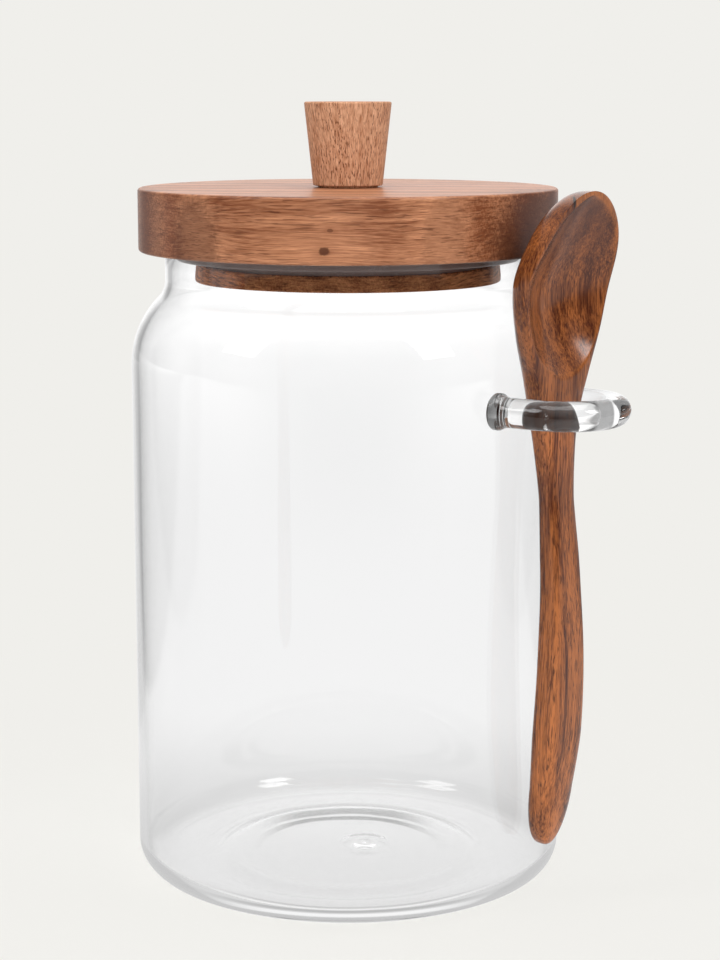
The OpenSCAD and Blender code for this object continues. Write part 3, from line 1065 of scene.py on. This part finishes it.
@dataclass
class Spoon(Assembly):
    """The carved spoon, lofted through its sections. Lengths are in millimetres."""

    loop_angle: float = 54.0
    spoon_turn: float = -8.0
    spoon_e: float = 56.58
    side_play: float = 1.5
    tip_gap: float = 14.2
    bowl_l: float = 47.5
    bowl_w: float = 28.2
    bowl_peak: float = 27.0
    bowl_d: float = 8.4
    bowl_lean: float = 9.3
    hollow_d: float = 6.0
    rim_w: float = 0.6
    neck_w: float = 13.7
    waist_w: float = 9.0
    grip_w: float = 11.6
    waist_t: float = 5.4
    grip_t: float = 7.0
    handle_bow: float = 2.3
    grip_round: float = 14.0
    squareness: float = 2.8
    grip_squareness: float = 4.6
    square_fade: float = 12.0
    stations: int = 300
    sides: int = 144
    carving: float = 0.12

    def __post_init__(self) -> None:
        """Takes the height of the loop from the frame."""
        low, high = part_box("spoon_loop")
        self.loop_z = (low.z + high.z) / 2 / MM
        self.handle_l = self.loop_z - self.tip_gap

    def sections(self) -> np.ndarray:
        """Gives the sections from the handle's end to the bowl's end.

        Returns:
            Rows of height from the loop, lean, half width, depth behind the rim's plane and depth before it.
        """
        hl, hb, gw, gt = self.handle_l, self.handle_bow, self.grip_w, self.grip_t
        ww, wt, nw = self.waist_w, self.waist_t, self.neck_w
        bl, bw, bd, lean = self.bowl_l, self.bowl_w, self.bowl_d, self.bowl_lean
        return np.array([
            [-hl, -0.8 * hb, 0.49 * gw, 0.47 * gt, 0.47 * gt],
            [-0.85 * hl, 0.1 * hb, 0.49 * gw, 0.48 * gt, 0.48 * gt],
            [-0.72 * hl, 0.7 * hb, 0.50 * gw, 0.50 * gt, 0.50 * gt],
            [-0.55 * hl, 1.0 * hb, 0.47 * gw, 0.47 * gt, 0.47 * gt],
            [-0.38 * hl, 0.8 * hb, 0.53 * ww, 0.53 * wt, 0.53 * wt],
            [-0.21 * hl, 0.2 * hb, 0.50 * ww, 0.50 * wt, 0.50 * wt],
            [-0.08 * hl, -0.2 * hb, 0.40 * nw, 0.60 * wt, 0.60 * wt],
            [0.0, 0.05 * lean, 0.50 * nw, 0.65 * bd, 0.24 * bd],
            [0.15 * bl, 0.17 * lean, 0.31 * bw, 0.86 * bd, 0.11 * bd],
            [0.35 * bl, 0.22 * lean, 0.43 * bw, 0.92 * bd, 0.07 * bd],
            [self.bowl_peak, 0.33 * lean, 0.50 * bw, 1.00 * bd, 0.06 * bd],
            [0.78 * bl, 0.72 * lean, 0.50 * bw, 1.15 * bd, 0.06 * bd],
            [bl, 1.00 * lean, 0.50 * bw, 1.15 * bd, 0.06 * bd]])

    def along(self, heights: np.ndarray) -> np.ndarray:
        """Reads the sections smoothly at any heights.

        Args:
            heights: Heights from the loop.

        Returns:
            Rows of lean, half width, depth behind and depth before.
        """
        rows = self.sections()
        knots, values = rows[:, 0], rows[:, 1:]
        before = np.maximum(np.arange(len(rows)) - 1, 0)
        after = np.minimum(np.arange(len(rows)) + 1, len(rows) - 1)
        slopes = (values[after] - values[before]) / (knots[after] - knots[before])[:, None]
        i = np.clip(np.searchsorted(knots, heights, side="right") - 1, 0, len(rows) - 2)
        span = (knots[i + 1] - knots[i])[:, None]
        t = (heights - knots[i])[:, None] / span
        return ((2 * t ** 3 - 3 * t ** 2 + 1) * values[i] + (t ** 3 - 2 * t ** 2 + t) * span * slopes[i]
                + (3 * t ** 2 - 2 * t ** 3) * values[i + 1] + (t ** 3 - t ** 2) * span * slopes[i + 1])

    def hollow(self, heights: np.ndarray, across: np.ndarray, widths: np.ndarray) -> np.ndarray:
        """Gives the depth of the bowl's hollow below the rim's plane.

        Args:
            heights: Heights from the loop, one a row.
            across: Distances from the middle.
            widths: Half widths, one a row.

        Returns:
            The depths, in the shape of across.
        """
        low, high = 0.15 * self.bowl_l, self.bowl_l - 1.7 * self.rim_w
        v = np.clip((2 * heights - low - high) / (high - low), -1, 1)
        edge = np.maximum((widths - self.rim_w) * np.sqrt(1 - v ** 6), 1e-6)
        inside = np.clip(1 - (across / edge) ** 2, 0, 1)
        slack = 0.6 + 0.4 * np.clip(-2 * v, 0, 1)
        return self.hollow_d * (1 - v ** 2) ** slack * inside

    def rings(self) -> np.ndarray:
        """Gives the points of every ring round the spoon, in its own frame.

        Returns:
            An array of rings, points and the three directions.
        """
        t = (1 - np.cos(np.pi * np.arange(1, self.stations + 1) / (self.stations + 1))) / 2
        s = -self.handle_l + (self.handle_l + self.bowl_l) * t
        up = (s - self.bowl_peak) / (self.bowl_l - self.bowl_peak)
        down = (-self.handle_l + self.grip_round - s) / self.grip_round
        closing = np.sqrt(np.maximum(0, 1 - np.maximum(np.maximum(up, down), 0) ** 2))
        lean, width, back, front = self.along(s).T
        width, back, front = width * closing, back * np.sqrt(closing), front * np.sqrt(closing)
        q = 2 * np.pi * np.arange(self.sides) / self.sides
        low, high = -self.handle_l + self.grip_round, -0.2 * self.handle_l
        squared = np.clip((s - low) / self.square_fade, 0, 1) * np.clip((high - s) / self.square_fade, 0, 1)
        power = (2 / (self.squareness + (self.grip_squareness - self.squareness) * squared))[:, None]
        x = width[:, None] * np.sign(np.cos(q)) * np.abs(np.cos(q)) ** power
        y = np.sign(np.sin(q)) * np.abs(np.sin(q)) ** power
        dip = self.hollow(s[:, None], x, width[:, None])
        depth = np.where(q[None, :] <= np.pi, back[:, None] * y, front[:, None] * y + dip)
        return np.stack([x, depth - lean[:, None], np.broadcast_to(s[:, None], x.shape)], axis=2)

    def to_frame(self, points: np.ndarray) -> np.ndarray:
        """Puts points of the spoon's own frame where the spoon hangs.

        Args:
            points: Points in millimetres.

        Returns:
            The same points in the jar's frame, in metres.
        """
        inner = Matrix.Rotation(math.radians(self.spoon_turn), 4, "Z")
        inner = Matrix.Translation((-self.side_play / 2, -self.spoon_e, 0)) @ inner
        outer = Matrix.Rotation(math.radians(self.loop_angle), 4, "Z")
        whole = np.array(Matrix.Translation((0, 0, self.loop_z)) @ outer @ inner)
        return (points @ whole[:3, :3].T + whole[:3, 3]) * MM

    def build(self) -> None:
        """Makes the spoon."""
        rings = self.rings()
        tips = [-self.handle_l, self.bowl_l]
        leans = self.along(np.array(tips))[:, 0]
        ends = np.array([[0.0, -lean, tip] for tip, lean in zip(tips, leans)])
        points = self.to_frame(np.vstack([rings.reshape(-1, 3), ends]))
        n, last = self.sides, self.stations * self.sides
        faces = [(i * n + j, i * n + (j + 1) % n, (i + 1) * n + (j + 1) % n, (i + 1) * n + j)
                 for i in range(self.stations - 1) for j in range(n)]
        faces += [(last, (j + 1) % n, j) for j in range(n)]
        faces += [(last + 1, last - n + j, last - n + (j + 1) % n) for j in range(n)]
        mesh = bpy.data.meshes.new("spoon_carved")
        mesh.from_pydata(points.tolist(), [], faces)
        mesh.polygons.foreach_set("use_smooth", [True] * len(mesh.polygons))
        mesh.materials.append(self.finishes["spoon"])
        self.shop.face_outwards(mesh)
        self.carve(mesh)
        self.mark_tone_and_painted_light(mesh, rings)
        place_piece(add_object("spoon_carved", mesh), "spoon", "spoon_wood", "spoon")

    def mark_tone_and_painted_light(self, mesh: bpy.types.Mesh, rings: np.ndarray) -> None:
        """Marks a painted highlight along the edge of the hollow, painted shade and sheen in its upper half,
        and the darker upper part of the spoon.

        Args:
            mesh: The mesh of the spoon.
            rings: The points of every ring, in the spoon's own frame.
        """
        x, s = rings[..., 0], rings[..., 2]
        half = np.abs(x).max(axis=1, keepdims=True)
        dip = self.hollow(s, x, half) / self.hollow_d
        front = np.arange(self.sides)[None, :] * 2 > self.sides
        top = np.clip((s / self.bowl_l - 0.7) / 0.15, 0, 1) * (x > -0.2 * self.bowl_w)
        # Painted highlight: a lighter orange line just inside the hollow's edge and on the flat rim at its
        # top.
        painted_rim_highlight = np.maximum(np.exp(-((dip - 0.03) / 0.045) ** 2) * (dip > 0), (dip < 0.03) * top) * front
        # Painted shade and sheen: the upper half of the hollow turns a darker, greyer purple-brown.
        painted_hollow_shade = np.clip((s / self.bowl_l - 0.55) / 0.35, 0, 1) * np.clip(dip / 0.25, 0, 1) * front
        # Darker from the lower handle upward, fully over the upper handle and the bowl.
        darker_upward = np.clip((s / self.handle_l + 0.75) / 0.45, 0, 1)
        for name, values in (("rim", painted_rim_highlight), ("hollow", painted_hollow_shade), ("upper", darker_upward)):
            marks = mesh.attributes.new(name, "FLOAT", "POINT")
            marks.data.foreach_set("value", np.append(values.ravel(), [0.0, 0.0]))

    def carve(self, mesh: bpy.types.Mesh) -> None:
        """Leaves the faint unevenness of carving and sanding in the surface.

        Args:
            mesh: The mesh of the spoon.
        """
        places = np.array([vertex.co for vertex in mesh.vertices])
        normals = np.array([vertex.normal for vertex in mesh.vertices])
        waves = [noise.noise(Vector((x, y, z * 0.4)) * 0.16) for x, y, z in (places / MM).tolist()]
        depths = (0.5 + 0.5 * np.array(waves)) * self.carving * MM
        mesh.vertices.foreach_set("co", (places - normals * depths[:, None]).ravel())
        mesh.update()


@dataclass(frozen=True)
class Lamp:
    """A soft studio lamp: where it is, where it points, its size in metres and its power."""

    name: str
    place: Triple
    target: Triple
    size: Point
    power: float
    shows: bool = True


@dataclass(frozen=True)
class PaintedLightRing:
    """A part of a ring of painted light on the floor, seen only through the glass: painted shadow below
    zero, painted highlight above. Millimetres.
    """

    radius: float
    half: float
    change: float
    side: float
    reach: float


@dataclass
class Studio:
    """The camera, the lamps, the pale floor and the pale surroundings."""

    paper: Colour
    shadow: float = 0.15
    fill: float = 0.3
    # Through the glass the floor shows dimmer near and under the jar than behind it: painted shade near the
    # jar.
    floor_levels: tuple[Ramp, ...] = (
        (-0.9, -0.3, 0.03, 0.7), (0.0, 0.13, 0.0, 0.24), (0.4, 1.1, 0.0, 0.14), (1.0, 1.6, 0.0, 0.1))
    floor_sides: tuple[Triple, ...] = ((0.1, 0.34, 0.16), (0.34, 0.46, 0.5))
    # Painted contact shadows of the foot ring behind the jar, and at the front a painted glint on the heel
    # between two painted shade lines.
    marks: tuple[PaintedLightRing, ...] = (
        PaintedLightRing(23.0, 1.5, -0.95, 1.0, 24.0), PaintedLightRing(28.0, 2.8, -0.95, 1.0, 24.0),
        PaintedLightRing(45.0, 1.2, 0.4, -1.0, 40.0), PaintedLightRing(42.8, 0.8, -0.3, -1.0, 40.0),
        PaintedLightRing(47.2, 0.8, -0.3, -1.0, 40.0))
    camera_place: Triple = (0.0, -511.0, 182.7)
    camera_pitch: float = 10.08
    camera_yaw: float = 0.31
    focal: float = 2215.0
    picture_h: float = 960.0
    floor_half: float = 6.0
    lamps: tuple[Lamp, ...] = (
        Lamp("top_box", (0.0, -0.15, 1.1), (0.0, 0.0, 0.15), (0.9, 0.9), 7.0),
        Lamp("front_fill", (0.0, -1.5, 0.3), (0.0, 0.0, 0.1), (1.0, 0.4), 4.5, False),
        Lamp("left_box", (-1.2, -0.6, 1.1), (0.0, 0.0, 0.1), (0.5, 0.7), 6.5),
        Lamp("right_box", (1.06, -0.86, 1.1), (0.0, 0.0, 0.1), (0.5, 0.7), 9.5))

    def build(self) -> None:
        """Makes the camera, the lamps, the floor and the world."""
        self.make_camera()
        for lamp in self.lamps:
            self.make_lamp(lamp)
        self.make_floor()
        self.make_world()
        bpy.context.scene.view_settings.view_transform = "Standard"

    def make_camera(self) -> None:
        """Puts the camera where the photograph was taken from."""
        data = bpy.data.cameras.new("camera")
        data.sensor_width = 36.0
        data.lens = self.focal * data.sensor_width / self.picture_h
        data.clip_start = 0.01
        camera = add_object("camera", data)
        camera.location = [value * MM for value in self.camera_place]
        camera.rotation_euler = (math.radians(90 - self.camera_pitch), 0, math.radians(-self.camera_yaw))
        bpy.context.scene.camera = camera

    def make_lamp(self, lamp: Lamp) -> None:
        """Adds one soft lamp, which shows in no more than one reflection after another.

        Args:
            lamp: The lamp.
        """
        data = bpy.data.lights.new(lamp.name, "AREA")
        data.shape = "RECTANGLE"
        data.size, data.size_y = lamp.size
        data.energy = lamp.power
        data.use_nodes = True
        graph = Graph(data.node_tree)
        path = graph.node("ShaderNodeLightPath").outputs
        once = graph.math("LESS_THAN", path["Glossy Depth"], 1.5)
        graph.fill(data.node_tree.nodes["Emission"], {"Strength": once})
        light = add_object(lamp.name, data)
        light.location = lamp.place
        light.visible_glossy = lamp.shows
        light.visible_transmission = lamp.shows
        aim = Vector(lamp.target) - Vector(lamp.place)
        light.rotation_euler = aim.to_track_quat("-Z", "Y").to_euler()

    def floor_light(self, work: Surface) -> Socket:
        """Gives the light that the floor shows to the glass: bright behind it, dimmer near it as painted
        shade, dim beside it, with rings of painted shadow and painted highlight.

        Args:
            work: The material of the floor.

        Returns:
            The level at each place.
        """
        x, y, _ = work.split(work.place)
        aside = work.math("ABSOLUTE", x)
        depth = work.plus(work.math("MAXIMUM", y, 0.0), 0.1)
        beyond = work.step(work.math("DIVIDE", y, work.plus(aside, 0.15)), 0.0, 0.5)
        spread = work.times(work.math("DIVIDE", work.math("SUBTRACT", aside, 0.05), depth), beyond)
        within = work.step(spread, 0.6, 2.2, -1.0, 0.0)
        shares = [work.slope(work.step(spread, low, high, 0.0, dim), within, 1.0)
                  for low, high, dim in self.floor_sides]
        away = self.floor_distance(work)
        # Rings of painted shadow and painted highlight, seen only through the glass.
        for mark in self.marks:
            gap = work.math("ABSOLUTE", work.math("SUBTRACT", away, mark.radius * MM))
            line = work.step(gap, 0.6 * mark.half * MM, mark.half * MM, mark.change, 0.0)
            there = work.math("GREATER_THAN", work.times(y, mark.side), 0.0)
            fade = work.step(aside, 0.4 * mark.reach * MM, mark.reach * MM, 1.0, 0.0)
            shares.append(work.plus(work.times(line, there, fade), 1.0))
        return work.times(work.plus(*[work.step(y, *level) for level in self.floor_levels]), *shares)

    @staticmethod
    def floor_distance(work: Surface) -> Socket:
        """Gives the distance of each place on the floor from the jar's axis."""
        return work.length(work.vector("MULTIPLY", work.place, (1.0, 1.0, 0.0)))

    def make_floor(self) -> None:
        """Lays the pale floor, which takes the shadow and shows as even paper."""
        half = self.floor_half
        mesh = bpy.data.meshes.new("floor")
        corners = [(-half, -half, 0), (half, -half, 0), (half, half, 0), (-half, half, 0)]
        mesh.from_pydata(corners, [], [(0, 1, 2, 3)])
        floor = add_object("floor", mesh)
        work = Surface("pale_paper")
        work.fill(work.shader, {"Base Color": self.paper, "Roughness": 0.9, "Specular IOR Level": 0.1})
        lit = work.shader.outputs[0]
        path = work.node("ShaderNodeLightPath").outputs
        seen = work.math("MAXIMUM", path["Is Glossy Ray"], path["Is Transmission Ray"])
        through = work.out("ShaderNodeEmission", {0: WHITE, 1: self.floor_light(work)})
        share = work.step(self.floor_distance(work), 0.06, 0.22, self.shadow, 0.0)
        shown = work.mix(share, work.out("ShaderNodeEmission", {0: self.paper, 1: 1.0}), lit)
        work.show(work.mix(path["Is Camera Ray"], work.mix(seen, lit, through), shown))
        mesh.materials.append(work.material)

    def make_world(self) -> None:
        """Makes the surroundings: paper to the camera, a bright wall behind the glass, soft fill around."""
        world = bpy.data.worlds.new("studio")
        world.use_nodes = True
        bpy.context.scene.world = world
        graph = Graph(world.node_tree)
        path = graph.node("ShaderNodeLightPath").outputs
        x, y, z = graph.split(graph.node("ShaderNodeTexCoord").outputs["Generated"])
        behind = graph.step(y, -0.2, 0.2, 0.06, 1.2)
        narrow = graph.step(graph.math("ABSOLUTE", x), 0.25, 0.45, 1.0, 0.35)
        above = graph.step(z, 0.35, 0.8, 0.0, 0.5)
        level = graph.math("MAXIMUM", graph.times(behind, narrow), above)
        seen = graph.math("MAXIMUM", path["Is Glossy Ray"], path["Is Transmission Ray"])
        wall = graph.joined(level, level, level)
        around = graph.blend(seen, (self.fill, self.fill, self.fill, 1.0), wall)
        colour = graph.blend(path["Is Camera Ray"], around, self.paper)
        graph.fill(world.node_tree.nodes["Background"], {"Color": colour})


def make_finishes() -> dict[str, bpy.types.Material]:
    """Builds every finish of the jar.

    Returns:
        The materials by name.
    """
    stave = {"pale": srgb(230, 156, 106), "deep": srgb(112, 62, 34), "pore": srgb(64, 32, 18),
             "grain": Grain.ALONG_Y, "ring_width": 7.0, "ring_depth": 0.2, "band_depth": 0.2,
             "fine_depth": 0.7, "pore_length": 4.0, "layer": 0.15, "roughness": 0.62, "specular": 0.06}
    left = stave | {"pale": srgb(240, 148, 84), "deep": srgb(140, 74, 38)}
    lid_spots_and_painted_shadow = (
        Spot((-5.0, -47.7, 148.7), (1.2, 2.0, 0.9)),
        Spot((-3.75, -47.85, 153.1), (0.7, 2.0, 0.4), depth=0.6),
        Spot((-47.0, -16.0, 150.0), (10.0, 16.0, 18.0), depth=0.3, halo=0.0),
        Spot((-33.0, -34.6, 148.0), (7.4, 7.4, 12.0), depth=0.52, halo=0.0),
        Spot((20.5, -43.4, 149.0), (5.5, 5.5, 13.0), depth=0.26, halo=0.0),
        # Painted shadow: the last, large spot darkens the lid's right end, where the spoon shades it.
        Spot((45.0, -22.0, 149.0), (22.0, 24.0, 13.0), depth=0.8, halo=0.0))
    # Colours blended in by the spoon's attributes: darker towards the top, painted shade and sheen in the
    # upper hollow, and a painted highlight along the hollow's rim.
    spoon_tone_and_painted_light = (("upper", srgb(84, 38, 14), 0.28), ("hollow", srgb(92, 57, 46), 0.7),
                  ("rim", srgb(198, 120, 60), 0.25))
    finishes = {
        "glass": GlassFinish("blown_glass", (0.994, 0.994, 0.994, 1.0), 0.02),
        "lid": WoodFinish(
            "lid_oiled_wood", srgb(216, 152, 112), srgb(122, 68, 40), srgb(80, 40, 22), Grain.ALONG_X,
            turn=8.0, heart=(0.0, 126.6, -153.0), ring_width=12.4, ring_depth=0.35, band_depth=0.2,
            fibre_depth=0.2, fine_depth=0.42, fine_length=8.0, pore_depth=0.6, pore_length=5.0,
            pore_width=0.22, end_depth=0.35, layer=0.12, roughness=0.5, coat=0.4, specular=0.12,
            spots=lid_spots_and_painted_shadow),
        "knob": WoodFinish(
            "knob_pale_wood", srgb(234, 185, 150), srgb(174, 116, 80), srgb(100, 46, 20), Grain.ALONG_Z,
            heart=(0.0, 12.0, 30.0), ring_width=5.0, ring_depth=0.1, band_depth=0.15, fibre_depth=0.2,
            fine_depth=0.6, pore_depth=0.85, pore_length=1.6, pore_width=0.24, end_depth=0.2,
            roughness=0.55),
        "stave_left": WoodFinish("plug_wood_left", heart=(3.0, 30.0, -150.0), **left),
        "stave_middle": WoodFinish("plug_wood_middle", heart=(9.0, -20.0, -130.0), end_depth=0.12, **stave),
        "stave_right": WoodFinish("plug_wood_right", heart=(5.0, 14.0, -160.0), end_depth=0.0, **stave),
        "spoon": WoodFinish(
            "spoon_dark_wood", srgb(190, 112, 58), srgb(78, 34, 13), srgb(34, 12, 4), Grain.ALONG_Z,
            heart=(0.0, 60.0, 30.0), ring_width=6.0, ring_depth=0.25, band_depth=0.5, fibre_depth=0.4,
            fine_depth=0.65, fine_length=9.0, pore_depth=0.72, pore_length=3.0, pore_width=0.25,
            end_depth=0.12, roughness=0.4, smear=0.12, coat=1.0, coat_roughness=0.21, specular=0.05,
            # The through colour is painted shade: dark grey where the spoon is seen through the glass loop.
            tone_and_painted_light=spoon_tone_and_painted_light, through=srgb(28, 29, 30),
            spots=(Spot((47.5, -43.8, 159.1), (0.3, 2.2, 2.0), 0.3, 1.0),)),
        "seal": SiliconeFinish("grey_silicone", srgb(144, 123, 117), srgb(170, 154, 149)),
        "screw": SteelFinish("plated_steel", srgb(196, 198, 202), srgb(150, 150, 148))}
    groups = Groups()
    return {name: finish.material(groups) for name, finish in finishes.items()}


def main() -> None:
    """Builds the jar, the lid, the spoon and the studio."""
    logging.basicConfig(level=logging.INFO, format="%(message)s")
    finishes = make_finishes()
    shop = Workshop()
    for assembly in (GlassJar, Lid, Spoon):
        assembly(shop, finishes).build()
    Studio(paper=srgb(240, 239, 235)).build()


if __name__ == "__main__":
    main()
